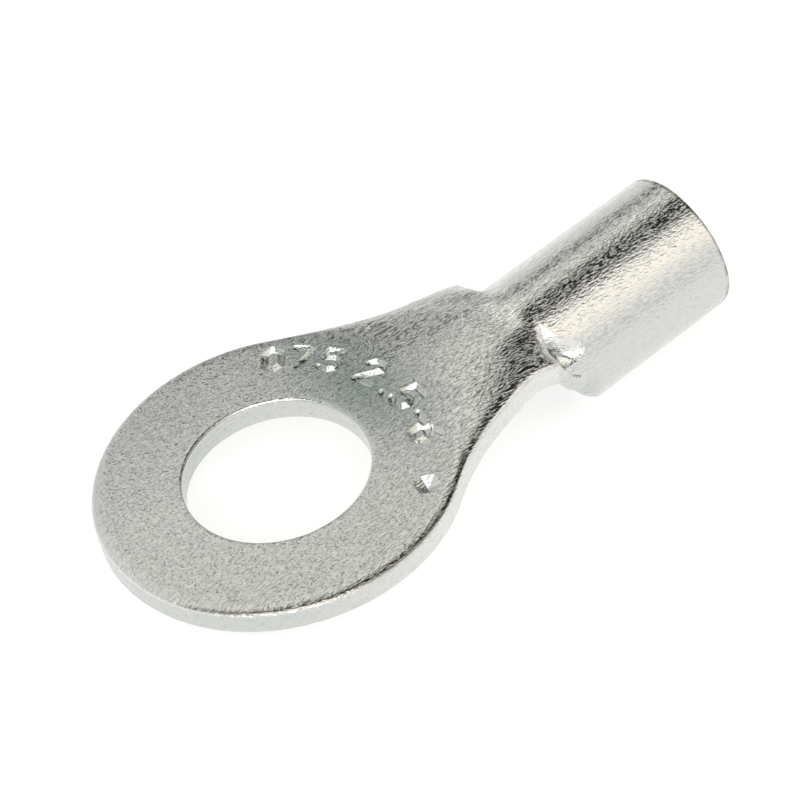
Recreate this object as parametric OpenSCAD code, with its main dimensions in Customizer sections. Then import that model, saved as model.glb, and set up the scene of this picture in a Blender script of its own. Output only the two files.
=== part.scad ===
// Ring terminal for a crimped wire: a flat ring tongue, a neck and a rolled barrel, blanked and
// formed from one sheet of tinned copper. The neck lofts the flat sheet into the barrel's wall.
// Lengths are in millimetres. The part is drawn with its tongue level, the stud hole on the Z axis
// and the tongue's lower face at Z = 0, and is then tipped onto the two points that it rests on.

/* [Ring tongue] */
// Diameter of the stud hole, a clearance hole for a 6 mm or quarter-inch stud
stud_hole_d = 6.7; // [5.2:0.05:7.4]
// Outer diameter of the ring
ring_d = 13.2; // [12:0.1:15]
// Thickness of the sheet
sheet_t = 0.9; // [0.7:0.05:1.1]
// Radius that blanking rolls over the upper edge of the sheet
edge_roll = 0.15; // [0.05:0.01:0.25]
// Radius that punching rolls over the upper rim of the stud hole
hole_roll = 0.12; // [0.05:0.01:0.2]

/* [Neck] */
// Radius of the two concave flanks that run from the ring into the barrel's sides
flank_r = 15; // [12:0.5:20]
// Distance from the stud hole to where the neck's sides start to fall steeply
fall_x = 9.4; // [8.4:0.1:9.8]
// How far the neck's edges have already bowed down there
bow = 0.5; // [0.2:0.05:0.7]
// How far the edges of the sheet fall on top of that, by the front of the wings
fall = 2.05; // [1.7:0.05:2.4]
// Depth of the crease on each side, between the neck and the barrel's shoulder
crease_depth = 0.25; // [0.1:0.01:0.35]

/* [Barrel] */
// Outer diameter of the barrel
barrel_od = 5.7; // [5.2:0.05:6.4]
// How far the top of the barrel lies below the tongue's upper face
barrel_drop = 0.2; // [0:0.05:0.4]
// Distance from the stud hole to where the barrel's full wall starts along its top
crown_x = 10.4; // [10.2:0.1:11]
// Distance from the stud hole to the shoulders, where the wall stands clear of the neck
shoulder_x = 11.5; // [11.2:0.1:11.8]
// Distance from the stud hole to the front edge of the wings, beside the seam
wing_x = 12.8; // [12.6:0.1:14]
// Length of the barrel along its seam
wing_l = 6.3; // [5:0.1:9]
// Chamfer on the edges of the barrel's mouth
mouth_chamfer = 0.1; // [0.05:0.01:0.2]
// Width of the brazed seam along the underside of the barrel
seam_w = 0.14; // [0.08:0.01:0.25]
// Depth of the seam below the barrel's surface
seam_depth = 0.1; // [0.05:0.01:0.2]
// Radius of the wing corners where they meet at the ends of the seam
wing_corner_r = 0.3; // [0.2:0.05:0.5]

/* [Hidden] */
$fn = 96;

// Sink that keeps the neck's skin just inside the ring and the barrel where they overlap
lap = 0.01;
// Length that the neck runs on inside the ring
root_l = 0.3;
// Run of every cutter past the surface that it cuts
clear = 1;
// Distance from the end of the shoulders' slope to the front edge of the wings
wing_lead = 0.4;

ring_r = ring_d / 2;
barrel_r = barrel_od / 2;
bore_r = barrel_r - sheet_t;
barrel_top_z = sheet_t - barrel_drop;
barrel_z = barrel_top_z - barrel_r;
mouth_x = wing_x + wing_l;

// Centre of the left flank: its arc touches the ring and runs out along the barrel's side
flank_y = barrel_r + flank_r;
flank_x = sqrt(pow(ring_r + flank_r, 2) - pow(flank_y, 2));
// The neck starts on the line through the points where the flanks leave the ring
neck_x0 = flank_x * ring_r / (ring_r + flank_r);
// The shoulders' slope ends in front of the wings, and the neck ends inside the barrel's wall
slope_x1 = wing_x - wing_lead;
neck_x1 = wing_x - wing_lead / 2;

// Angles from the barrel's top, in degrees: the barrel's wall at the shoulder, the neck's edge at
// the shoulder, the neck's edge at its end inside the wall, and the wall at the end of the slope
lip_angle = 61;
edge_angle0 = 79;
edge_angle1 = 93;
wing_angle = 100;
shoulder_z = barrel_z + barrel_r * cos(lip_angle);
wing_z = barrel_z + barrel_r * cos(wing_angle);
// Length over which the wall slopes back from the crown before it meets its full height
crown_lead = 0.3;
// The turn from neck to wall runs from a little behind the crown to a little behind the shoulder
turn_x0 = crown_x + crown_lead;
turn_x1 = shoulder_x + 0.4;

// Power by which the edges' fall grows along the neck
fall_power = 1.4;
// Share of the half-width at which the arch near the barrel ends in a flange, and its power
flange_u = 0.8;
flange_power = 2.6;
// The plain arch changes into the flanged one between these two places
flange_x0 = fall_x + 0.5;
flange_x1 = shoulder_x - 0.5;
// The crease fades in between the first two shares of the half-width and out after the last one
crease_u = [0.35, 0.7, 0.9];

// The part rests on the ring's far lower edge and on the barrel's front lip
rest_pitch = atan((barrel_r - barrel_z) / (wing_x + ring_r));

// Stations along the neck before its sides fall and after that, points across half of the sheet,
// and points round its rolled edge
plain_stations = 12;
turn_stations = 30;
half_points = 11;
roll_points = 3;

// Rises from 0 at a to 1 at b with level ends
function smooth(x, a, b) = let(s = max(0, min(1, (x - a) / (b - a)))) s * s * (3 - 2 * s);
function mix(a, b, s) = a * (1 - s) + b * s;

// Half-width of the neck at x
function neck_w(x) = flank_y - sqrt(pow(flank_r, 2) - pow(flank_x - min(x, flank_x), 2));
// Height of the upper face along the middle of the neck
function crown_z(x) = sheet_t - barrel_drop * smooth(x, fall_x, crown_x);
// Fall of the sheet's edges below the crown at x
function edge_fall(x) =
    bow * smooth(x, neck_x0, fall_x)
    + fall * pow(max(0, x - fall_x) / (wing_x - fall_x), fall_power);
// Share of the fall at u, from 0 at the crown to 1 at the edge: a plain arch far from the barrel,
// and near it an arch with a level flange on each side
function fall_share(x, u) =
    mix(u * u, min(1, pow(u / flange_u, flange_power)), smooth(x, flange_x0, flange_x1));
// How far the sheet has turned from a neck into a barrel wall
function wall_share(x) = smooth(x, turn_x0, turn_x1);
// Depth of the crease below the barrel's wall at x and u
function crease(x, u) =
    crease_depth * (1 - smooth(x, shoulder_x - crown_lead, turn_x1))
    * smooth(u, crease_u[0], crease_u[1]) * (1 - smooth(u, crease_u[2], 1));
// Angle from the barrel's top that the sheet's edge has reached at x
function edge_angle(x) =
    mix(edge_angle0, edge_angle1, (x - shoulder_x) / (neck_x1 - shoulder_x));
// Lowering of the upper face where its edge is rolled over, at a distance from the edge
function roll_drop(gap) =
    gap >= edge_roll ? 0 : edge_roll - sqrt(pow(edge_roll, 2) - pow(edge_roll - gap, 2));

// Place across the sheet, from -1 to 1, of point i: even steps, then the rolled edge
function across(x, i) =
    let(
        edge = edge_roll / neck_w(x),
        k = abs(i),
        s = k <= half_points
            ? (1 - edge) * k / half_points
            : 1 - edge * (1 - sin(90 * (k - half_points) / roll_points))
    )
    sign(i) * s;

// Point of the neck's skin at x, at u across the sheet, at a depth below the upper face
function skin(x, u, depth) =
    let(
        sunk = x <= neck_x0 ? lap : 0,
        side = sign(u),
        a = abs(u),
        flat = [side * (a * neck_w(x) - sunk * a), crown_z(x) - edge_fall(x) * fall_share(x, a) - depth],
        angle = a * edge_angle(x),
        r = barrel_r - crease(x, a) - depth,
        wall = [side * r * sin(angle), barrel_z + r * cos(angle)],
        p = mix(flat, wall, wall_share(x))
    )
    [x, p[0], p[1]];

// Closed loop of points round the neck's section at x: the upper face, then the lower one
function section(x) =
    let(
        n = half_points + roll_points,
        inset = (x <= neck_x0 || x > crown_x) ? lap : 0
    )
    concat(
        [for (i = [-n:n]) let(u = across(x, i)) skin(x, u, inset + roll_drop((1 - abs(u)) * neck_w(x)))],
        [for (i = [n:-1:-n]) skin(x, across(x, i), sheet_t - inset)]
    );

// Places along the neck at which its section is taken
stations = concat(
    [neck_x0 - root_l],
    [for (k = [0:plain_stations - 1]) mix(neck_x0, fall_x, k / plain_stations)],
    [for (k = [0:turn_stations]) mix(fall_x, neck_x1, k / turn_stations)]
);

// Solid that joins equal loops of points, one after the other
module loft(loops) {
    n = len(loops[0]);
    last = len(loops) - 1;
    sides = [for (k = [0:last - 1], i = [0:n - 1]) let(j = (i + 1) % n)
        each [[k * n + i, k * n + j, (k + 1) * n + j], [k * n + i, (k + 1) * n + j, (k + 1) * n + i]]];
    half = n / 2;
    caps = [for (i = [0:half - 2]) let(j = n - 1 - i)
        each [[i, j, j - 1], [i, j - 1, i + 1],
              [last * n + i, last * n + j - 1, last * n + j],
              [last * n + i, last * n + i + 1, last * n + j - 1]]];
    polyhedron(points = [for (loop = loops) each loop], faces = concat(sides, caps));
}

// Flat disc of the ring, up to the line where the neck takes over
module ring() {
    difference() {
        rotate_extrude() ring_profile();
        translate([neck_x0, -ring_r, -clear]) cube([ring_r, ring_d, sheet_t + 2 * clear]);
    }
}

// Half section of the disc, with its upper edge rolled over
module ring_profile() {
    square([ring_r, sheet_t - edge_roll]);
    square([ring_r - edge_roll, sheet_t]);
    translate([ring_r - edge_roll, sheet_t - edge_roll]) circle(r = edge_roll);
}

// Space of the punched hole, which widens at the top where the punch rolled the rim over
module stud_hole() {
    hole_r = stud_hole_d / 2;
    rotate_extrude() {
        translate([0, -clear]) square([hole_r, sheet_t + 2 * clear]);
        difference() {
            translate([0, sheet_t - hole_roll]) square([hole_r + hole_roll, clear]);
            translate([hole_r + hole_roll, sheet_t - hole_roll]) circle(r = hole_roll);
        }
    }
}

// Sheet between the ring and the barrel, which turns from a flat strip into the barrel's wall
module neck() {
    loft([for (x = stations) section(x)]);
}

// Rolled barrel, cut back to the neck's shoulders at the front and seamed underneath
module barrel() {
    difference() {
        translate([0, 0, barrel_z]) rotate([0, 90, 0]) rotate_extrude() barrel_profile();
        front_cut();
        seam();
    }
}

// Half section of the barrel along its axis
module barrel_profile() {
    polygon([
        [bore_r, crown_x],
        [barrel_r, crown_x],
        [barrel_r, mouth_x - mouth_chamfer],
        [barrel_r - mouth_chamfer, mouth_x],
        [bore_r + mouth_chamfer, mouth_x],
        [bore_r, mouth_x - mouth_chamfer]
    ]);
}

// Space in front of the barrel, seen from the side: it slopes back from the crown past the
// shoulders to the front edge of the wings
module front_cut() {
    low = barrel_z - barrel_r - clear;
    high = barrel_top_z + clear;
    translate([0, barrel_od, 0]) rotate([90, 0, 0]) linear_extrude(2 * barrel_od)
        polygon([
            [crown_x - clear, high],
            [crown_x - crown_lead, high],
            [crown_x, barrel_top_z],
            [shoulder_x, shoulder_z],
            [slope_x1, wing_z],
            [wing_x, wing_z - clear],
            [wing_x, low],
            [crown_x - clear, low]
        ]);
}

// Shallow groove of the brazed seam, with a small notch at each end between the wing corners
module seam() {
    low = barrel_z - barrel_r - clear;
    notch = wing_corner_r;
    translate([crown_x, -seam_w / 2, low]) cube([mouth_x, seam_w, clear + seam_depth]);
    for (x = [wing_x, mouth_x])
        translate([x, 0, low])
            rotate([0, 0, 45])
                translate([-notch / 2, -notch / 2, 0]) cube([notch, notch, clear + 1.5 * sheet_t]);
}

module ring_terminal() {
    color("silver")
        rotate([0, -rest_pitch, 0])
            difference() {
                union() {
                    ring();
                    neck();
                    barrel();
                }
                stud_hole();
            }
}

ring_terminal();
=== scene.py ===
import math

import bmesh
import bpy
import numpy as np
from mathutils import Matrix, Vector


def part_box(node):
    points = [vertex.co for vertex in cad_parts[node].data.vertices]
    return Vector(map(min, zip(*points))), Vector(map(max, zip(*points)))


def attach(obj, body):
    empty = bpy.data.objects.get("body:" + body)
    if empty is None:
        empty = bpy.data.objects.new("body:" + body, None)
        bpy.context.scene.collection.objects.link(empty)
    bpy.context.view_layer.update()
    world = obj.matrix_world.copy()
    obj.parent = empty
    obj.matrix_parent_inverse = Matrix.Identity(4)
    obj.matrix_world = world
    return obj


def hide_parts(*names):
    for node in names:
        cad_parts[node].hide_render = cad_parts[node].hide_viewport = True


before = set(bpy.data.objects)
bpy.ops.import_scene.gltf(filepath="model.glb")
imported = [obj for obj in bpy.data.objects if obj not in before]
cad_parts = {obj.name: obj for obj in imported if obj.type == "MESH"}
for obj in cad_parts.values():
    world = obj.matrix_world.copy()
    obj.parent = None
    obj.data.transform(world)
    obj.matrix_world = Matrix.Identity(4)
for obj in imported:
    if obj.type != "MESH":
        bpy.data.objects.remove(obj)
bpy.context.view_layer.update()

MM = 0.001

# Sizes in millimetres, as in the part's source
stud_hole_d = 6.7
ring_d = 13.2
sheet_t = 0.9
hole_roll = 0.12
flank_r = 15.0
fall_x = 9.4
bow = 0.5
fall = 2.05
fall_power = 1.4
barrel_od = 5.7
barrel_drop = 0.2
crown_x = 10.4
wing_x = 12.8
wing_l = 6.3
seam_w = 0.14
seam_depth = 0.1

# Looks only. Tight roll along the sheet's upper edges, and the wide, shallow one inside it
edge_roll = 0.13
soft_roll_w = 0.45
soft_roll_depth = 0.06
# Radius on the mouth's outer edge, and chamfer on its inner one
mouth_round = 0.12
mouth_chamfer = 0.08
# Turns from the barrel's top, in degrees, between which the neck's edge lies along its side
edge_turn0 = 66
edge_turn1 = 86
# How far the neck dips under the shoulder's lip
recess_depth = 0.6
# How much later the far edge starts to fall than the near one
far_delay = 0.8
# Height and spacing of the unevenness that tumbling and plating leave in the sheet
swell_h = 0.02
swell_pitch = 1.6
# Rows of stamped figures: text, turn of the first one, step between two, radius of the feet, height
figure_rows = [("075", 52.5, 11.5, 4.95, 1.05), ("2.5-6", 11.5, 13.0, 4.85, 1.1)]
groove_w = 0.32
groove_depth = 0.17
# Six-sided punch mark beside the figures
punch_x = 3.04
punch_y = -4.62
punch_r = 0.5
punch_depth = 0.28

hole_r = stud_hole_d / 2
ring_r = ring_d / 2
barrel_r = barrel_od / 2
bore_r = barrel_r - sheet_t
barrel_top_z = sheet_t - barrel_drop
barrel_z = barrel_top_z - barrel_r
mouth_x = wing_x + wing_l
flank_y = barrel_r + flank_r
flank_x = math.sqrt((ring_r + flank_r) ** 2 - flank_y ** 2)
neck_x0 = flank_x * ring_r / (ring_r + flank_r)
rest_pitch = math.atan((barrel_r - barrel_z) / (wing_x + ring_r))
# The ring's grid of rays hands over to the neck's grid of rows here
join_x = 5.6
# The neck's edge turns onto the barrel's side between merge_start_x and merge_x. From there the slab
# is hidden in the barrel's wall, and it ends at slab_end_x
merge_start_x = 10.3
merge_x = 11.4
slab_end_x = 12.5


def smooth(x, a, b):
    """Rises smoothly from 0 at a to 1 at b."""
    s = np.clip((x - a) / (b - a), 0, 1)
    return s * s * (3 - 2 * s)


def mix(a, b, s):
    """Goes from a to b as s goes from 0 to 1."""
    return a * (1 - s) + b * s


# ---------------------------------------------------------------- form of the sheet

def neck_w(x):
    """Half-width of the neck at x."""
    reach = flank_x - np.minimum(x, flank_x)
    return flank_y - np.sqrt(flank_r ** 2 - np.minimum(reach, flank_r) ** 2)


def edge_gap(x, y):
    """Distance from a point of the flat sheet to its outer edge."""
    on_ring = np.arctan2(np.abs(y), x) > math.atan2(flank_y, flank_x)
    ring_gap = ring_r - np.hypot(x, y)
    flank_gap = np.hypot(x - flank_x, np.abs(y) - flank_y) - flank_r
    return np.where(on_ring, ring_gap, np.where(x > flank_x, neck_w(x) - np.abs(y), flank_gap))


def round_drop(gap, radius):
    """Drop of a quarter-round edge at a distance from it."""
    g = np.clip(radius - gap, 0, radius)
    return radius - np.sqrt(np.maximum(radius ** 2 - g ** 2, 0))


def edge_drop(gap, y):
    """Drop of the upper face near a blanked edge: a tight roll inside a wide, shallow one, which
    is deeper along the near side."""
    depth = soft_roll_depth * (1 + 0.6 * smooth(-y, 0, 4))
    return round_drop(gap, edge_roll) + depth * np.clip(1 - gap / soft_roll_w, 0, 1) ** 2


def fall_of_edge(x, y):
    """Fall of the sheet's edge below the crown. The far edge holds its height a little longer."""
    late = np.where(y > 0, far_delay, 0.0)
    run = np.maximum(0, x - fall_x - late) / (wing_x - fall_x)
    return bow * smooth(x, neck_x0, fall_x) + fall * run ** fall_power


def top_z(x, u, y):
    """Height of the slab's upper face at x, at u across from -1 to 1."""
    a = np.abs(u)
    crown = sheet_t - barrel_drop * smooth(x, fall_x - 0.6, crown_x + 0.2)
    level = np.where(y > 0, 0.25, 0.4)
    shed = np.clip((a - level) / (1 - level), 0, 1) ** 1.2
    arch = mix(a * a, shed, smooth(x, fall_x - 1.0, fall_x))
    arch = mix(arch, np.minimum(1, (a / 0.8) ** 2.6), smooth(x, 10.1, 11.1))
    neck = crown - fall_of_edge(x, y) * arch
    turn = np.degrees(np.arcsin(np.clip(a * side_top_y(x) / barrel_r, 0, 1)))
    # The recess beside the shoulder's lip is narrower and shallower on the far side
    recess = smooth(turn, 30, 40) * (1 - smooth(turn, np.where(y > 0, 44, 60), np.where(y > 0, 56, edge_turn0)))
    recess = recess * np.where(y > 0, 0.4, 1)
    sunk = np.maximum(smooth(x, 11.7, slab_end_x), 0.4 * smooth(turn, 44, 60))
    skin_r = barrel_r + mix(0.002, -0.05, sunk) - recess_depth * recess
    wall = barrel_z + np.sqrt(np.maximum(skin_r ** 2 - y ** 2, 0))
    start = mix(10.6, 10.72, smooth(turn, 18, 46))
    share = smooth(x, start, start + mix(1.0, 0.55, smooth(turn, 18, 46)))
    return mix(neck, wall, share) + far_hump(x, a, y)


def far_hump(x, a, y):
    """Rounded hump along the far edge, just before the barrel."""
    there = np.where(y > 0, 1.0, 0.0) * smooth(x, 9.0, 10.0) * (1 - smooth(x, 11.0, 11.6))
    roll = np.clip((a - 0.72) / 0.28, 0, 1) ** 2
    return there * (mix(0.08, 0.20, smooth(x, 10.2, 11.0)) * smooth(a, 0.35, 0.8) - 0.06 * roll)


def edge_r(x):
    """Radius on which the neck's edge lies where it has merged into the barrel's side."""
    return barrel_r + 0.02 - 0.05 * smooth(x, 10.9, 12.0)


def side_top_y(x):
    """Half-width at the slab's upper edge, which leans in onto the barrel's round."""
    return mix(neck_w(x), edge_r(x) * math.sin(math.radians(edge_turn0)), smooth(x, merge_start_x, merge_x))


def under_z(x, u, y):
    """Height of the slab's lower face."""
    flat = top_z(x, u, u * side_top_y(x)) - sheet_t
    shelf = barrel_z + edge_r(x) * math.cos(math.radians(edge_turn1))
    bore = barrel_z + np.sqrt(np.maximum((bore_r + 0.02) ** 2 - y ** 2, 0))
    return mix(flat, np.maximum(shelf, bore), smooth(x, merge_start_x, merge_x))


def edge_steps():
    """Distances from an edge at which the grid has a line: close over the roll, then wider."""
    roll = [edge_roll * (1 - math.sin(math.radians(a))) for a in (90, 72, 54, 38, 24, 11, 0)]
    return np.array(roll + [0.19, 0.26, 0.35, 0.47])


# ---------------------------------------------------------------- meshes

def new_piece(name, points, faces):
    """Mesh object from points in the drawn frame, in millimetres."""
    mesh = bpy.data.meshes.new(name)
    mesh.from_pydata([tuple(p) for p in points], [], faces)
    bm = bmesh.new()
    bm.from_mesh(mesh)
    bmesh.ops.remove_doubles(bm, verts=bm.verts, dist=1e-5)
    bmesh.ops.recalc_face_normals(bm, faces=bm.faces)
    bm.to_mesh(mesh)
    bm.free()
    piece = bpy.data.objects.new(name, mesh)
    bpy.context.scene.collection.objects.link(piece)
    return piece


def slab_plan():
    """Plan of the tongue and neck as a grid: points (x, y), quads, the loops of the hole's rim and
    of the outer edge, and how far across the neck its points lie, from -1 to 1."""
    steps = edge_steps()
    across = np.concatenate([1 - steps / barrel_r, np.linspace(1 - steps[-1] / barrel_r, 0, 22)[1:]])
    across = np.concatenate([-across, across[::-1][1:]])
    n_across = len(across)

    # Outline, counter-clockwise from the near end of the join to the far one, round the ring
    join_w = float(neck_w(join_x))
    flank = [(x, float(neck_w(x))) for x in np.linspace(join_x, neck_x0, 26)]
    lean = math.acos(neck_x0 / ring_r)
    arc = [(ring_r * math.cos(a), ring_r * math.sin(a))
           for a in np.linspace(lean, 2 * math.pi - lean, 190)[1:-1]]
    outline = np.array(flank + arc + [(x, -y) for x, y in flank[::-1]])
    chord = np.array([(join_x, -join_w + join_w * (1 + u)) for u in across[1:-1]])

    border = np.concatenate([outline, chord])
    n = len(border)

    def inset(d):
        """The border moved in by d, with its points slid clear of the join's corners."""
        length = join_x - neck_x0
        moved = []
        for x, y in outline:
            if x > neck_x0 and math.atan2(abs(y), x) < math.atan2(flank_y, flank_x) + 1e-9:
                slid = join_x - (d + (join_x - x) * (length - d) / length)
                y = math.copysign(float(neck_w(slid)), y)
                cy = math.copysign(flank_y, y)
                moved.append((slid + (slid - flank_x) / flank_r * d, y + (y - cy) / flank_r * d))
            else:
                moved.append((x * (1 - d / ring_r), y * (1 - d / ring_r)))
        for x, y in chord:
            moved.append((x - d, y * (join_w - d) / join_w))
        return np.array(moved)

    # Rays from the border to the hole's rim
    rim_steps = [hole_roll * (1 - math.sin(math.radians(a))) for a in (90, 68, 46, 24, 0)] + [0.2]
    angle = np.arctan2(border[:, 1], border[:, 0])
    out_dir = np.stack([np.cos(angle), np.sin(angle)], axis=1)
    rows = [inset(d) for d in steps]
    inner = [out_dir * (hole_r + d) for d in rim_steps]
    for s in np.linspace(0, 1, 20)[1:-1]:
        rows.append(mix(rows[len(steps) - 1], inner[-1], s))
    rows += inner[::-1]
    points = [p for row in rows for p in row]
    quads = []
    for k in range(len(rows) - 1):
        for j in range(n):
            i = (j + 1) % n
            quads.append((k * n + j, k * n + i, (k + 1) * n + i, (k + 1) * n + j))
    rim = [(len(rows) - 1) * n + j for j in range(n)]

    # Rows of the neck, on from the join
    xs = np.concatenate([np.linspace(join_x, fall_x, 30), np.linspace(fall_x, slab_end_x, 46)[1:]])
    chord_ids = [len(outline) - 1] + [len(outline) + j for j in range(len(chord))] + [0]
    last = chord_ids
    near_edge, far_edge = [last[0]], [last[-1]]
    u_of = {}
    for j, idx in enumerate(chord_ids):
        u_of[idx] = across[j]
    for x in xs[1:]:
        base = len(points)
        w = float(side_top_y(np.array(x)))
        for u in across:
            u_of[len(points)] = u
            points.append((x, u * w))
        row = list(range(base, base + n_across))
        for j in range(n_across - 1):
            quads.append((last[j], last[j + 1], row[j + 1], row[j]))
        near_edge.append(row[0])
        far_edge.append(row[-1])
        last = row
    edge = list(range(len(outline))) + near_edge[1:] + last[1:-1] + far_edge[:0:-1]
    return np.array(points), quads, rim, edge, u_of


def side_point(high, low, s):
    """Point of the sheet's edge face between its upper and lower lines: flat along the tongue
    and neck, and on the barrel's round where the two merge."""
    flat = mix(np.array(high), np.array(low), s)
    onto = float(smooth(flat[0], merge_start_x, merge_x))
    turn = math.radians(mix(edge_turn0, edge_turn1, s))
    r = float(edge_r(flat[0]))
    arc = np.array([flat[0], math.copysign(r * math.sin(turn), flat[1]), barrel_z + r * math.cos(turn)])
    return mix(flat, arc, onto if abs(flat[1]) > 1 else 0).tolist()


def slab():
    """Tongue and neck as one closed slab."""
    plan, quads, rim, edge, u_of = slab_plan()
    x, y = plan[:, 0], plan[:, 1]
    w = side_top_y(x)
    u = np.clip(y / w, -1, 1)
    for k, v in u_of.items():
        u[k] = v
    gap = np.where(x > join_x + 1e-6, (1 - np.abs(u)) * w, np.maximum(edge_gap(x, y), 0))
    gap = np.where(gap < 1e-6, 0, gap)
    rim_gap = np.hypot(x, y) - hole_r
    base = np.where(x > neck_x0, top_z(x, u, u * w), sheet_t)
    fade = 1 - smooth(x, 10.8, merge_x)
    top = base - edge_drop(gap, y) * fade - round_drop(rim_gap, hole_roll)
    side_y = mix(neck_w(x), edge_r(x) * math.sin(math.radians(edge_turn1)), smooth(x, merge_start_x, merge_x))
    under_y = np.where(x > join_x + 1e-6, u * side_y, y)
    under = np.where(x > neck_x0, under_z(x, u, under_y), 0.0)
    n = len(plan)
    points = np.concatenate([np.stack([x, y, top], 1), np.stack([x, under_y, under], 1)])
    faces = quads + [tuple(i + n for i in q[::-1]) for q in quads]
    points = points.tolist()
    for loop in (rim, edge):
        high = loop
        for s in (0.25, 0.5, 0.75):
            level = []
            for i in loop:
                level.append(len(points))
                points.append(side_point(points[i], points[i + n], s))
            for j in range(len(loop)):
                i = (j + 1) % len(loop)
                faces.append((high[j], high[i], level[i], level[j]))
            high = level
        for j in range(len(loop)):
            i = (j + 1) % len(loop)
            faces.append((high[j], high[i], loop[i] + n, loop[j] + n))
    return new_piece("slab", points, faces)


def by_turn(turn, stops, blur=2.5):
    """Value at a turn from the barrel's top, in degrees, run softly through the given stops."""
    a, v = zip(*stops)
    return np.interp(turn[:, None] + np.linspace(-blur, blur, 9)[None, :], a, v).mean(axis=1)


# Front edge of the barrel's wall: it leaves the neck beside the crown, runs back along the
# shoulder's lip, hides in the neck's edge, and then is the wings' front edge down to the seam
front_stops = [(0, 11.5), (24, 11.2), (32, 10.98), (42, 10.93), (48, 11.03), (55, 11.27), (62, 11.5),
               (66, 11.55), (70, 11.0), (84, 10.95), (89, 11.13), (100, 11.55), (110, 11.96), (117, 12.42),
               (130, 12.6), (180, 12.8)]
# Length along the barrel, and depth, over which the wall rounds over to that edge
lip_run_stops = [(0, 0.08), (28, 0.1), (34, 0.32), (46, 0.58), (56, 0.85), (62, 0.8), (67, 0.35), (71, 0.05),
                 (90, 0.08), (180, 0.1)]
lip_fall_stops = [(0, 0.08), (28, 0.1), (34, 0.18), (46, 0.34), (57, 0.4), (64, 0.18), (69, 0.05), (90, 0.08),
                  (180, 0.1)]


def barrel():
    """Rolled barrel as one closed shell, with its front cut to the shoulders and wings."""
    n = 300
    turn = np.linspace(-180, 180, n + 1)[:-1]
    start = by_turn(np.abs(turn), front_stops)
    run = by_turn(np.abs(turn), lip_run_stops)
    drop = by_turn(np.abs(turn), lip_fall_stops)
    # The lip is half as wide on the far side
    far = np.where((turn > 28) & (turn < 80), 0.5, 1.0)
    run, drop = run * far, drop * far
    # The mouth was sheared slightly out of square
    end = mouth_x - 0.1 * (1 + np.cos(np.radians(2 * (turn + 41)))) / 2
    sin, cos = np.sin(np.radians(turn)), np.cos(np.radians(turn))
    rings = []

    def ring(x, r):
        rings.append(np.stack([x * np.ones(n), r * sin, barrel_z + r * cos], 1))

    for s in (0, 0.04, 0.1, 0.2, 0.32, 0.46, 0.6, 0.75, 0.88, 1.0):
        ring(start + run * s, barrel_r - drop * (1 - s) ** 1.25)
    for s in np.linspace(0, 1, 62)[1:-1]:
        ring(mix(start + run, end - mouth_round, s), barrel_r)
    for a in (0, 20, 40, 60, 75, 90):
        ring(end - mouth_round * (1 - math.sin(math.radians(a))),
             barrel_r - mouth_round * (1 - math.cos(math.radians(a))))
    for d in (0.3, 0.5, 0.7):
        ring(end, barrel_r - mouth_round - d * (sheet_t - 2 * mouth_round))
    ring(end, bore_r + mouth_chamfer)
    ring(end - mouth_chamfer, bore_r)
    for s in np.linspace(0, 1, 30)[1:-1]:
        ring(mix(end - mouth_chamfer, start + 0.05, s), bore_r)
    ring(start + 0.05, bore_r)
    ring(start, bore_r + 0.05)
    for s in (0.25, 0.5, 0.75):
        ring(start, mix(bore_r + 0.05, barrel_r - drop, s))
    points = np.concatenate(rings)
    m = len(rings)
    faces = []
    for k in range(m):
        for j in range(n):
            i = (j + 1) % n
            faces.append((k * n + j, k * n + i, ((k + 1) % m) * n + i, ((k + 1) % m) * n + j))
    return new_piece("barrel", points.tolist(), faces)


# ---------------------------------------------------------------- stamped figures

# Stroke of each figure on a cell 1 high, from (0, 0) at its lower left corner
figure_strokes = {
    "0": [(0.28, 1.0), (0.06, 0.78), (0.04, 0.22), (0.28, 0.0), (0.52, 0.22), (0.54, 0.78), (0.28, 1.0)],
    "2": [(0.02, 0.78), (0.14, 0.97), (0.40, 0.97), (0.54, 0.76), (0.02, 0.02), (0.56, 0.02)],
    "5": [(0.54, 0.98), (0.08, 0.98), (0.04, 0.55), (0.36, 0.60), (0.55, 0.40), (0.50, 0.12), (0.26, 0.0),
          (0.02, 0.10)],
    "6": [(0.48, 0.98), (0.14, 0.70), (0.02, 0.30), (0.16, 0.03), (0.44, 0.03), (0.56, 0.26), (0.44, 0.50),
          (0.08, 0.46)],
    "7": [(0.02, 0.98), (0.56, 0.98), (0.20, 0.0)],
    "-": [(0.05, 0.48), (0.50, 0.48)],
    ".": [(0.20, 0.02), (0.30, 0.02)],
}


def stamped_paths(text, angle0, step, radius, height):
    """Polylines of a row of figures set round the stud hole, their feet towards the hole."""
    paths = []
    angle = angle0
    for char in text:
        a = math.radians(angle)
        out = np.array([math.cos(a), math.sin(a)])
        along = np.array([math.sin(a), -math.cos(a)])
        foot = out * radius
        paths.append([tuple(foot + along * (px - 0.28) * height * 1.22 + out * py * height)
                      for px, py in figure_strokes[char]])
        angle -= step * (0.6 if char in ".-" else 1.0)
    return paths


def v_groove(a, b):
    """Closed cutter along one stroke: a V with rounded ends, as a stamp's edge leaves."""
    bm = bmesh.new()
    over = 0.25
    r = groove_w / 2 * (1 + over / groove_depth)
    for x, y in (a, b):
        bm.verts.new((x, y, sheet_t - groove_depth))
        for k in range(12):
            t = 2 * math.pi * k / 12
            bm.verts.new((x + r * math.cos(t), y + r * math.sin(t), sheet_t + over))
    bmesh.ops.convex_hull(bm, input=bm.verts)
    return cutter_from(bm, "groove")


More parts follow.
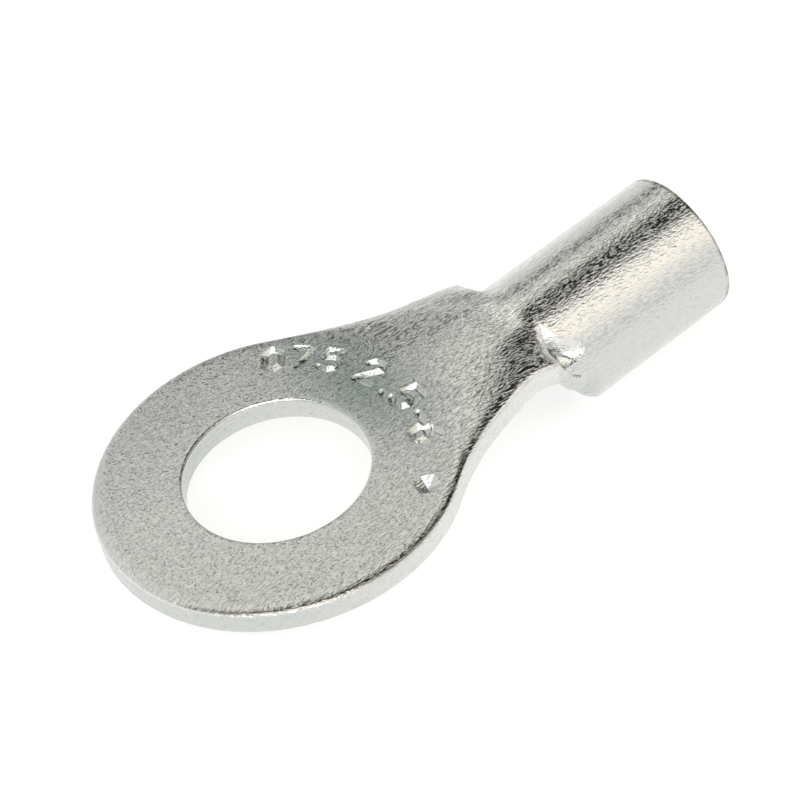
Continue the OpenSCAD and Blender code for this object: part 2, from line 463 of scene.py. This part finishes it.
def seam_cutter():
    """Closed cutter of the V-shaped line where the rolled barrel's two edges meet underneath."""
    bm = bmesh.new()
    z = barrel_z - barrel_r
    for x in (wing_x - 0.6, mouth_x + 0.2):
        for y, up in ((-seam_w, -seam_depth), (seam_w, -seam_depth), (0.0, seam_depth)):
            bm.verts.new((x, y, z + up))
    bmesh.ops.convex_hull(bm, input=bm.verts)
    return cutter_from(bm, "seam")


def nick_cutter():
    """Closed cutter of the short nick low on the near wing, beside its front edge."""
    bm = bmesh.new()
    for x, turn in ((11.22, -75.0), (11.58, -81.0)):
        for spread, r in ((-2.2, barrel_r + 0.06), (2.2, barrel_r + 0.06), (0.0, barrel_r - 0.08)):
            a = math.radians(turn + spread)
            bm.verts.new((x, r * math.sin(a), barrel_z + r * math.cos(a)))
    bmesh.ops.convex_hull(bm, input=bm.verts)
    return cutter_from(bm, "nick")


def cutter_from(bm, name):
    """Mesh object of a convex cutter, without the points that its hull left inside."""
    loose = [v for v in bm.verts if not v.link_faces]
    bmesh.ops.delete(bm, geom=loose, context="VERTS")
    bmesh.ops.recalc_face_normals(bm, faces=bm.faces)
    mesh = bpy.data.meshes.new(name)
    bm.to_mesh(mesh)
    bm.free()
    piece = bpy.data.objects.new(name, mesh)
    bpy.context.scene.collection.objects.link(piece)
    return piece


def stamps():
    """Cutters of all stamped figures."""
    paths = [path for row in figure_rows for path in stamped_paths(*row)]
    return [v_groove(a, b) for path in paths for a, b in zip(path[:-1], path[1:])]


def punch_mark():
    """Cutter of the small six-sided punch mark beside the figures."""
    bm = bmesh.new()
    over = 0.2
    r = punch_r * (1 + over / punch_depth)
    bm.verts.new((punch_x, punch_y, sheet_t - punch_depth))
    for k in range(6):
        t = math.pi * (k + 0.3) / 3
        bm.verts.new((punch_x + r * math.cos(t), punch_y + r * math.sin(t), sheet_t + over))
    bmesh.ops.convex_hull(bm, input=bm.verts)
    return cutter_from(bm, "punch")


def apply_boolean(target, tool, operation):
    """Joins or cuts target with tool for good, and removes tool."""
    mod = target.modifiers.new("boolean", "BOOLEAN")
    mod.operation = operation
    mod.solver = "MANIFOLD"
    mod.object = tool
    depsgraph = bpy.context.evaluated_depsgraph_get()
    mesh = bpy.data.meshes.new_from_object(target.evaluated_get(depsgraph))
    target.modifiers.remove(mod)
    target.data = mesh
    bpy.data.objects.remove(tool)
    return target


# ---------------------------------------------------------------- shader maths

class Val:
    """A socket of a node tree. Arithmetic on it adds Math nodes."""

    def __init__(self, tree, socket):
        self.tree = tree
        self.socket = socket

    def math(self, operation, *others, first=None):
        values = [self if first is None else first, *others]
        return self.tree.add("ShaderNodeMath", {"operation": operation}, {k: v for k, v in enumerate(values)})

    def __add__(self, other): return self.math("ADD", other)
    def __radd__(self, other): return self.math("ADD", other)
    def __sub__(self, other): return self.math("SUBTRACT", other)
    def __rsub__(self, other): return self.math("SUBTRACT", self, first=other)
    def __mul__(self, other): return self.math("MULTIPLY", other)
    def __rmul__(self, other): return self.math("MULTIPLY", other)
    def __truediv__(self, other): return self.math("DIVIDE", other)
    def __rtruediv__(self, other): return self.math("DIVIDE", self, first=other)
    def __pow__(self, other): return self.math("POWER", other)
    def __neg__(self): return self.math("MULTIPLY", -1)

    def clamp(self): return self.math("MAXIMUM", 0).math("MINIMUM", 1)

    def step(self, low, high):
        """Rises from 0 at low to 1 at high."""
        return ((self - low) / (high - low)).clamp()


class Tree:
    """A node tree with one method, add, that makes any node. The others call it."""

    def __init__(self, owner):
        if isinstance(owner, bpy.types.NodeTree):
            tree = owner
        else:
            owner.use_nodes = True
            tree = owner.node_tree
        self.nodes = tree.nodes
        self.links = tree.links
        self.nodes.clear()

    def add(self, kind, settings=None, inputs=None, output=0):
        node = self.nodes.new(kind)
        for key, value in (settings or {}).items():
            setattr(node, key, value)
        for key, value in (inputs or {}).items():
            if isinstance(value, Val):
                self.links.new(value.socket, node.inputs[key])
            else:
                node.inputs[key].default_value = value
        return Val(self, node.outputs[output]) if node.outputs else None

    def mix(self, factor, a, b, blend="MIX"):
        """Colour a with b laid over it by a factor."""
        return self.add("ShaderNodeMix", {"data_type": "RGBA", "blend_type": blend}, {"Factor": factor, 6: a, 7: b}, 2)

    def xyz(self, vector):
        """The three components of a vector."""
        return [self.add("ShaderNodeSeparateXYZ", {}, {"Vector": vector}, k) for k in range(3)]


def tin():
    """Satin tin plate: fine pits, short scratches and a soft grain over a slightly uneven sheet, with painted shade and
    a painted highlight in its colour.
    """
    material = bpy.data.materials.new("satin_tin")
    t = Tree(material)
    place = t.add("ShaderNodeTexCoord", output="Object")
    mm = t.add("ShaderNodeVectorMath", {"operation": "SCALE"}, {0: place, "Scale": 1000.0})

    def noise(scale, detail=1.0, rough=0.5, at=mm):
        return t.add("ShaderNodeTexNoise", {}, {"Vector": at, "Scale": scale, "Detail": detail, "Roughness": rough})

    def scratches(turn, length, low, high):
        """Short fine lines along one direction."""
        along = t.add("ShaderNodeMapping", {}, {"Vector": mm, "Rotation": turn, "Scale": (length, 13.0, 13.0)})
        return noise(1.0, 0.5, 0.5, along).step(low, high)

    x, y, z = t.xyz(mm)
    grain = noise(10.0, 0.7)
    swell = noise(3.2, 1.0)
    patch = noise(0.45, 3.0, 0.55)
    cells = {"Vector": mm, "Scale": 3.4, "Randomness": 1.0}
    pits = 1 - t.add("ShaderNodeTexVoronoi", {"feature": "F1"}, cells, "Distance").step(0.08, 0.24)
    marks = (scratches((0.3, 0.2, 0.7), 2.2, 0.57, 0.68) + scratches((0.1, 0.5, -0.9), 2.6, 0.57, 0.68)
             + scratches((0.6, -0.2, 1.5), 2.4, 0.58, 0.69))
    height = grain * 0.75 + swell * 0.9 - pits * 0.4 - marks * 0.3
    bump = t.add("ShaderNodeBump", {}, {"Strength": 1.0, "Distance": 0.000015, "Height": height})
    roughness = 0.09 + patch * 0.08 + grain * 0.04

    # Places in the drawn frame: along the terminal, depth under the tongue's upper face, distance
    # from the hole's axis and from the barrel's axis
    along = x * math.cos(rest_pitch) + z * math.sin(rest_pitch)
    height_z = z * math.cos(rest_pitch) - x * math.sin(rest_pitch)
    under_top = sheet_t - height_z
    plan = (x * x + y * y).math("SQRT")
    rise = height_z - barrel_z
    out = (y * y + rise * rise).math("SQRT")

    # The sheared edges, the hole's wall and the wings are darker. Painted shade darkens the sheet's edge faces towards
    # the left, and the barrel's lower part
    edge = under_top.step(0.10, 0.20) * plan.step(9.0, 8.0)
    # Painted shade: the edge faces darken towards the left
    left = x.step(2.0, -4.0)
    bore = plan.step(3.9, 3.6)
    wings = under_top.step(2.9, 3.3) * along.step(12.6, 12.0)
    # Darkening of edges, hole wall and wings, with painted shade on the left edge faces and the barrel's lower part
    dull_and_painted_shade = edge * (0.04 + left * 0.18 + bore * 0.12) + under_top.step(1.5, 2.1) * 0.15 + wings * 0.10 * (1 + pits)

    # Dark lines on the mouth's outer rim, and painted shade lines where the roll starts along the ring's near edge and
    # the hole's left rim
    rim = along.step(mouth_x - 0.27, mouth_x - 0.15) * swell.step(0.3, 0.5) * out.step(barrel_r - 0.16, barrel_r - 0.08)
    # Painted shade line along the ring's near edge
    near_edge_painted_shade = (under_top.step(0.035, 0.06) * under_top.step(0.125, 0.10) * plan.step(6.15, 6.3)
                 * x.step(4.8, 4.3) * y.step(-1.5, -4.0))
    # Painted shade line beside the hole's left rim
    hole_rim_painted_shade = plan.step(3.52, 3.45) * under_top.step(0.12, 0.07) * x.step(0.5, -1.0) * plan.step(3.3, 3.36)

    # Painted shade darkens the sheet between hole and neck, and more towards the far side; a painted highlight lightens
    # the neck's crown
    off = (x - 4.3) / 1.9
    far = (y - 0.9) / 3.6
    painted_shade_patch = ((-(off * off) - far * far).math("EXPONENT") + y.step(1.5, 5.5) * 0.35) * (1 - edge)
    painted_highlight = (-(((along - 10.5) / 0.8) ** 2) - (((y - 0.1) / 1.1) ** 2)).math("EXPONENT")

    fleck = (grain * 0.5 + swell * 0.5 + marks * 0.25).step(0.34, 0.72)
    shade = t.mix(fleck, (0.72, 0.725, 0.715, 1), (0.79, 0.785, 0.77, 1))
    # The darkening here includes the painted shade patch
    shade = t.mix((dull_and_painted_shade + painted_shade_patch * 0.47 + pits * 0.10).clamp(), shade, (0.0, 0.13, 0.12, 1), "MULTIPLY")
    # Painted highlight on the neck's crown
    shade = t.mix(painted_highlight * 0.9, shade, (0.97, 0.97, 0.94, 1))
    # Painted shade lines along the ring's near edge and the hole's left rim
    shade = t.mix((near_edge_painted_shade + hole_rim_painted_shade).clamp() * 0.75, shade, (0.16, 0.15, 0.13, 1))
    shade = t.mix(rim * 0.8, shade, (0.17, 0.13, 0.10, 1))
    surface = t.add("ShaderNodeBsdfPrincipled", {}, {
        "Base Color": shade, "Metallic": 1.0, "Roughness": roughness, "Normal": bump})
    t.add("ShaderNodeOutputMaterial", {}, {"Surface": surface})
    return material


def floor_white():
    """Pale floor: white to the eye and in reflections, with a faint shadow, plain to other light."""
    material = bpy.data.materials.new("pale_floor")
    t = Tree(material)
    camera_ray, glossy_ray, transmission_ray = (
        t.add("ShaderNodeLightPath", output=k) for k in ("Is Camera Ray", "Is Glossy Ray", "Is Transmission Ray"))
    seen = (camera_ray + glossy_ray + transmission_ray).clamp()
    plain = t.add("ShaderNodeBsdfDiffuse", {}, {"Color": (0.8, 0.8, 0.8, 1)})
    glow = t.add("ShaderNodeEmission", {}, {"Color": (1, 1, 1, 1), "Strength": 0.72})
    shadow = t.add("ShaderNodeBsdfDiffuse", {}, {"Color": (0.4, 0.4, 0.4, 1)})
    white = t.add("ShaderNodeAddShader", {}, {0: glow, 1: shadow})
    surface = t.add("ShaderNodeMixShader", {}, {"Fac": seen, 1: plain, 2: white})
    t.add("ShaderNodeOutputMaterial", {}, {"Surface": surface})
    return material


def studio():
    """Soft studio: pale walls all round, dark gaps overhead and behind, and a warm window in front.
    Bands run along X, and are placed by their turn round it from straight up, in degrees."""
    world = bpy.data.worlds.new("studio")
    bpy.context.scene.world = world
    t = Tree(world)
    way = t.add("ShaderNodeTexCoord", output="Generated")
    x, y, z = t.xyz(way)
    turn = y.math("ARCTAN2", z) * (180 / math.pi)

    def band(centre, width):
        off = (turn - centre) / width
        return (-(off * off)).math("EXPONENT")

    def gap(centre, width):
        off = (turn - centre) / width
        return (-(off * off * off * off)).math("EXPONENT")

    overhead = gap(3.0, x.step(0.28, 0.42) * 15.0 + 16.3)
    far_gap = band(51, x.step(0.2, 0.4) * 3.0 + 8.5) * x.step(0.06, 0.2)
    behind = band(36, 12) * x.step(0.24, 0.38)
    window = band(-42, 18.5)
    front = band(-52, 42) * x.step(-0.12, -0.4) * z.step(0.08, 0.4)
    level = (0.79 - overhead * 0.78 - far_gap * 0.79 + window * 0.52 + front * 1.0 + behind * 0.55
             + band(27, 6) * 0.18 + band(73, 6) * 0.12 + band(-25, 6) * 0.25)
    tone = t.mix(band(24, 22), (1.0, 1.0, 0.99, 1), (1.0, 1.0, 0.93, 1))
    tone = t.mix(window.clamp(), tone, (1.0, 0.95, 0.83, 1))
    glow = t.add("ShaderNodeBackground", {}, {"Color": tone, "Strength": level})
    white = t.add("ShaderNodeBackground", {}, {"Color": (1, 1, 1, 1), "Strength": 1.0})
    seen = t.add("ShaderNodeLightPath", output="Is Camera Ray")
    out = t.add("ShaderNodeMixShader", {}, {"Fac": seen, 1: glow, 2: white})
    t.add("ShaderNodeOutputWorld", {}, {"Surface": out})


def lamps():
    """One soft lamp beside the camera, for the shoulder's highlight and a soft shadow."""
    data = bpy.data.lights.new("front_lamp", "AREA")
    data.shape = "DISK"
    data.size = 0.21
    data.energy = 0.11
    lamp = bpy.data.objects.new("front_lamp", data)
    aim = Vector((0.006, 0, 0))
    lamp.location = aim + Vector((-0.66, -0.48, 0.57)).normalized() * 0.22
    lamp.rotation_euler = (aim - lamp.location).to_track_quat("-Z", "Y").to_euler()
    bpy.context.scene.collection.objects.link(lamp)


def camera():
    """Camera at an azimuth, elevation, roll and distance from the point it looks at."""
    azimuth, elevation, tilt = math.radians(-41.0), math.radians(35.95), math.radians(2.03)
    distance = 0.10416
    look_at = Vector((5.394, 0.015, 1.328)) * MM
    forward = Vector((-math.sin(azimuth) * math.cos(elevation), math.cos(azimuth) * math.cos(elevation),
                      -math.sin(elevation)))
    level = forward.cross(Vector((0, 0, 1))).normalized()
    up = level.cross(forward)
    right = level * math.cos(tilt) + up * math.sin(tilt)
    up = right.cross(forward)
    data = bpy.data.cameras.new("camera")
    data.sensor_width = 36.0
    data.lens = 131.3
    data.clip_start = 0.005
    data.clip_end = 20
    cam = bpy.data.objects.new("camera", data)
    rot = Matrix((right, up, -forward)).transposed()
    cam.matrix_world = Matrix.Translation(look_at - forward * distance) @ rot.to_4x4()
    bpy.context.scene.collection.objects.link(cam)
    bpy.context.scene.camera = cam


def floor():
    """Wide floor, a hundredth of a millimetre under the part."""
    mesh = bpy.data.meshes.new("floor")
    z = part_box("ring_terminal")[0].z - 0.01 * MM
    half = 1.5
    mesh.from_pydata([(-half, -half, z), (half, -half, z), (half, half, z), (-half, half, z)], [], [(0, 1, 2, 3)])
    mesh.materials.append(floor_white())
    piece = bpy.data.objects.new("floor", mesh)
    bpy.context.scene.collection.objects.link(piece)


def uneven_sheet(piece, material, swell, pitch):
    """Makes the skin slightly uneven, as tumbled and plated sheet is, by a Geometry Nodes tree. The
    skin only moves inwards."""
    group = bpy.data.node_groups.new("uneven_sheet", "GeometryNodeTree")
    group.interface.new_socket("Geometry", in_out="OUTPUT", socket_type="NodeSocketGeometry")
    group.interface.new_socket("Geometry", in_out="INPUT", socket_type="NodeSocketGeometry")
    swell_in = group.interface.new_socket("Swell", in_out="INPUT", socket_type="NodeSocketFloat")
    pitch_in = group.interface.new_socket("Pitch", in_out="INPUT", socket_type="NodeSocketFloat")
    t = Tree(group)
    source = {k: t.add("NodeGroupInput", output=k) for k in ("Geometry", "Swell", "Pitch")}
    noise = t.add("ShaderNodeTexNoise", {"noise_dimensions": "3D"}, {
        "Vector": t.add("GeometryNodeInputPosition"), "Scale": 1 / source["Pitch"], "Detail": 2.0, "Roughness": 0.5})
    lift = (noise - 0.8) * source["Swell"]
    offset = t.add("ShaderNodeVectorMath", {"operation": "SCALE"}, {0: t.add("GeometryNodeInputNormal"), "Scale": lift})
    moved = t.add("GeometryNodeSetPosition", {}, {"Geometry": source["Geometry"], "Offset": offset})
    real = t.add("GeometryNodeRealizeInstances", {}, {"Geometry": moved})
    dressed = t.add("GeometryNodeSetMaterial", {}, {"Geometry": real, "Material": material})
    t.add("NodeGroupOutput", {}, {"Geometry": dressed})
    mod = piece.modifiers.new("uneven_sheet", "NODES")
    mod.node_group = group
    mod[swell_in.identifier] = swell
    mod[pitch_in.identifier] = pitch
    depsgraph = bpy.context.evaluated_depsgraph_get()
    piece.data = bpy.data.meshes.new_from_object(piece.evaluated_get(depsgraph))
    piece.modifiers.clear()


def terminal():
    """The whole terminal: slab and barrel joined, then stamped, tipped onto its rest."""
    piece = slab()
    apply_boolean(piece, barrel(), "UNION")
    material = tin()
    uneven_sheet(piece, material, swell_h, swell_pitch)
    apply_boolean(piece, seam_cutter(), "DIFFERENCE")
    apply_boolean(piece, nick_cutter(), "DIFFERENCE")
    tool = punch_mark()
    for cutter in stamps():
        apply_boolean(tool, cutter, "UNION")
    apply_boolean(piece, tool, "DIFFERENCE")
    c, s = math.cos(rest_pitch), math.sin(rest_pitch)
    rest = Matrix(((c, 0, -s, 0), (0, 1, 0, 0), (s, 0, c, 0), (0, 0, 0, 1)))
    piece.data.transform(Matrix.Scale(MM, 4) @ rest)
    piece.name = "ring_terminal_visual"
    piece.data.materials.clear()
    piece.data.materials.append(material)
    piece.data.shade_smooth()
    piece.data.set_sharp_from_angle(angle=math.radians(25))
    return piece


piece = terminal()
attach(piece, "root")
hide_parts("ring_terminal")

floor()
studio()
lamps()
camera()
bpy.context.scene.view_settings.view_transform = "Standard"
